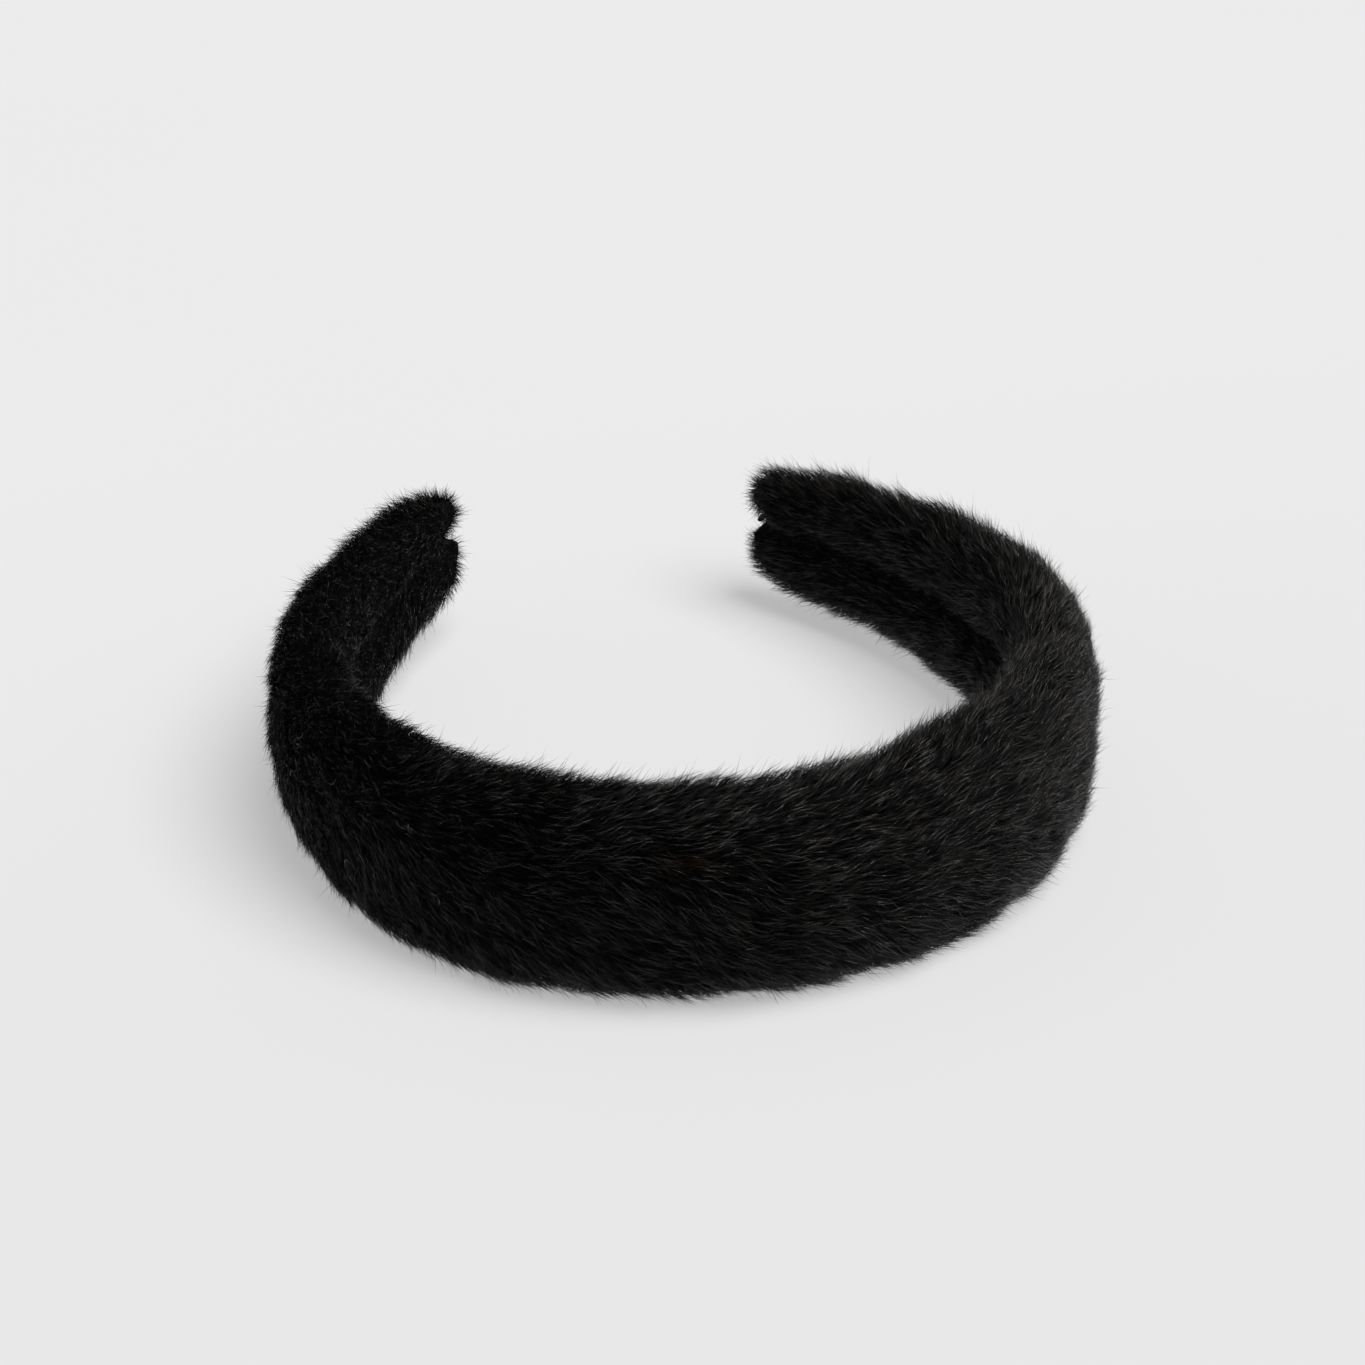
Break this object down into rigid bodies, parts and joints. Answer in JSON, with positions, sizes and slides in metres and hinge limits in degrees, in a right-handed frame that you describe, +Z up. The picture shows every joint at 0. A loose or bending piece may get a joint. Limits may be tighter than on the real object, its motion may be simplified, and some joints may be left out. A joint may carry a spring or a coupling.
{
  "type": "padded headband",
  "caption": "Wide padded headband covered in short black fur fabric, an open C of springy plastic strip and foam that tapers towards its tips.",
  "frame": {"origin": "centre of the bounding box, on the edge that the band rests on", "axes": "+Z up from the resting edge, -Y towards the crown, +Y towards the open side, X across the two arms"},
  "size_m": [0.1492, 0.1456, 0.0384],
  "materials": {
    "black_fur": "short dense pile, soft grey sheen",
    "pad_foam": "open-cell foam",
    "core_plastic": "moulded, satin",
    "sewing_thread": "twisted polyester thread"
  },
  "bodies": {
    "crown": {"core_strip_crown": "core_plastic", "foam_pad_crown": "pad_foam", "fur_cover_crown": "black_fur", "seam_thread_crown": "sewing_thread"},
    "left_arm": {"core_strip_left_arm": "core_plastic", "foam_pad_left_arm": "pad_foam", "fur_cover_left_arm": "black_fur", "seam_thread_left_arm": "sewing_thread", "tip_tack_left": "sewing_thread"},
    "right_arm": {"core_strip_right_arm": "core_plastic", "foam_pad_right_arm": "pad_foam", "fur_cover_right_arm": "black_fur", "seam_thread_right_arm": "sewing_thread", "tip_tack_right": "sewing_thread"}
  },
  "joints": [
    {"name": "left_arm_flex", "type": "hinge", "parent": "crown", "child": "left_arm", "pos_m": [-0.05344, -0.05092, 0.019], "axis": [0, 0, 1], "range_deg": [0, 18], "stiffness_Nm_per_rad": 0.6},
    {"name": "right_arm_flex", "type": "hinge", "parent": "crown", "child": "right_arm", "pos_m": [0.05344, -0.05092, 0.019], "axis": [0, 0, -1], "range_deg": [0, 18], "stiffness_Nm_per_rad": 0.6}
  ]
}
